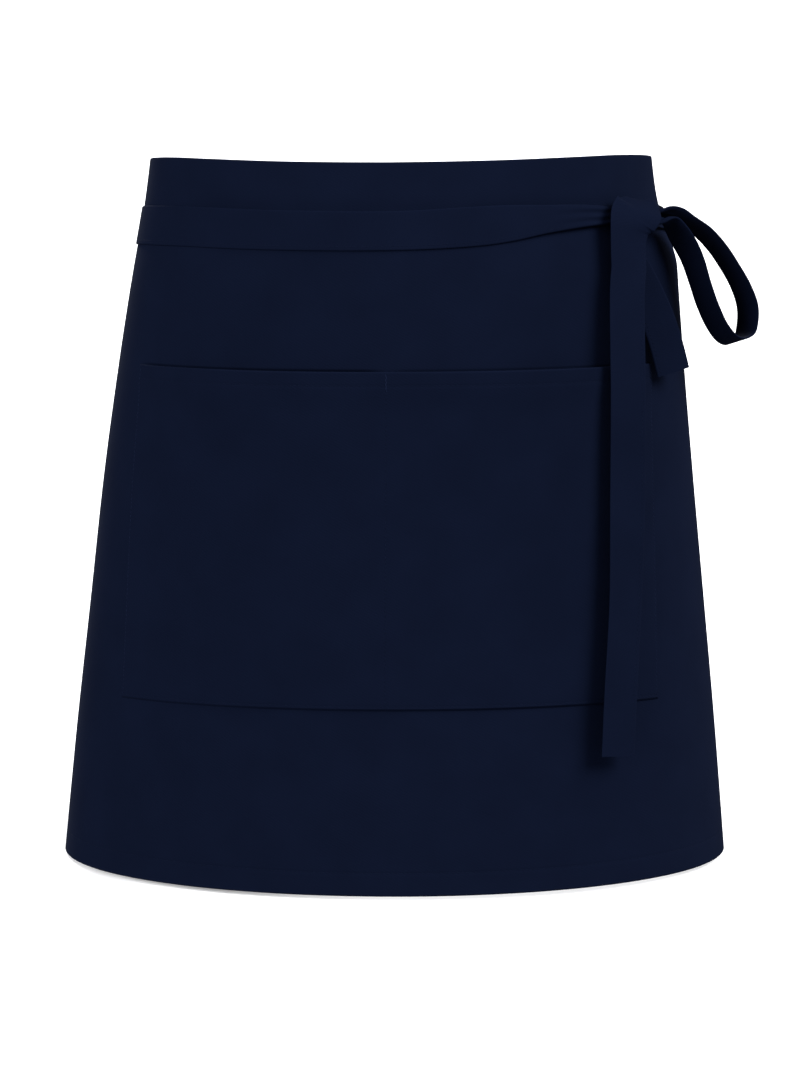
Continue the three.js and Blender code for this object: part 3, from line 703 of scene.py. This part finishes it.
def joined_up(stations, between):
    """Stations of a whole strip with more between them, on a smooth curve whose knots lie apart as the
    square root of the distance, so that it has no kinks between near and far ones."""
    apart = np.sqrt(np.linalg.norm(np.diff(stations[:, :3], axis=0), axis=1))
    knots = np.pad(apart.cumsum(), (1, 0))
    last = len(knots) - 1
    at = np.interp(np.linspace(0, last, last * between + 1), np.arange(last + 1), knots)
    return curve_through(knots, stations, at)


side_stations = np.concatenate([
    skirt_stations(SIDE_TIE_IN, SIDE_TIE_IN_BETWEEN), loop_stations(),
    skirt_stations(SIDE_TIE_OUT, SIDE_TIE_OUT_BETWEEN)])
side_face, side_lining, side_flat, side_wide = tie_faces(joined_up(side_stations, SIDE_TIE_BETWEEN))
side_tie = cloth_wall("side_tie_cloth", side_face, side_lining, side_flat)
side_tie.data.materials.append(navy_twill)
side_tie_stitching = sewn("side_tie_stitching", tie_seams(side_face, side_lining, side_wide))
for piece in (side_tie, side_tie_stitching):
    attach(piece, "root")
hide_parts("side_tie")

# Studio: a white floor just under the hem that throws no light back, a little light from all round, and broad
# soft lights: the key from the right, a fill from the left and two behind. The camera looks slightly down.
FLOOR_Z = -0.4552
FLOOR_REACH = 45.0
bpy.context.scene.view_settings.view_transform = "Standard"
floor_mesh = bpy.data.meshes.new("floor")
floor_mesh.from_pydata([(x * FLOOR_REACH, y * FLOOR_REACH, FLOOR_Z) for x, y in
                        ((-1, -1), (1, -1), (1, 1), (-1, 1))], [], [(0, 1, 2, 3)])
floor = bpy.data.objects.new("floor", floor_mesh)
floor.visible_diffuse = False
floor.visible_glossy = False
bpy.context.scene.collection.objects.link(floor)
floor_paint = bpy.data.materials.new("white_studio_floor")
floor_paint.use_nodes = True
floor_shader = floor_paint.node_tree.nodes["Principled BSDF"]
floor_shader.inputs["Base Color"].default_value = linear("#f4f4f5")
floor_shader.inputs["Roughness"].default_value = 1.0
floor_shader.inputs["Specular IOR Level"].default_value = 0.0
floor_shader.inputs["Emission Color"].default_value = linear("#ffffff")
floor_shader.inputs["Emission Strength"].default_value = 0.22
floor_mesh.materials.append(floor_paint)

world = bpy.data.worlds.new("studio")
bpy.context.scene.world = world
world.use_nodes = True
world.node_tree.nodes["Background"].inputs["Color"].default_value = linear("#fbfbff")
world.node_tree.nodes["Background"].inputs["Strength"].default_value = 0.36

# Azimuth from the front towards the picture's right, height, strength and width of each light
STUDIO_LIGHTS = {
    "key": (70, 40, 4.05, 36),
    "fill": (-48, 16, 3.7, 50),
    "back_right": (122, 12, 0.8, 30),
    "back_left": (-160, 30, 3.8, 20),
}
for light_name, (azimuth, height, strength, width) in STUDIO_LIGHTS.items():
    lamp = bpy.data.lights.new(light_name, "SUN")
    lamp.energy = strength
    lamp.angle = np.radians(width)
    around, above = np.radians(azimuth), np.radians(height)
    light = bpy.data.objects.new(light_name, lamp)
    light.rotation_mode = "QUATERNION"
    light.rotation_quaternion = Vector((
        -np.sin(around) * np.cos(above), np.cos(around) * np.cos(above), -np.sin(above)
    )).to_track_quat("-Z", "Y")
    bpy.context.scene.collection.objects.link(light)

CAMERA_FAR, CAMERA_SIDE, CAMERA_Z = 3.260, 0.0018, 0.233
CAMERA_AZIMUTH, CAMERA_DOWN = np.radians(3), np.radians(8)
camera_data = bpy.data.cameras.new("camera")
camera_data.lens = 156.0
camera_data.clip_end = 200
camera = bpy.data.objects.new("camera", camera_data)
camera.location = (
    CAMERA_FAR * np.sin(CAMERA_AZIMUTH) + CAMERA_SIDE * np.cos(CAMERA_AZIMUTH),
    -CAMERA_FAR * np.cos(CAMERA_AZIMUTH) + CAMERA_SIDE * np.sin(CAMERA_AZIMUTH),
    CAMERA_Z,
)
camera.rotation_euler = (np.pi / 2 - CAMERA_DOWN, 0, CAMERA_AZIMUTH)
bpy.context.scene.collection.objects.link(camera)
bpy.context.scene.camera = camera
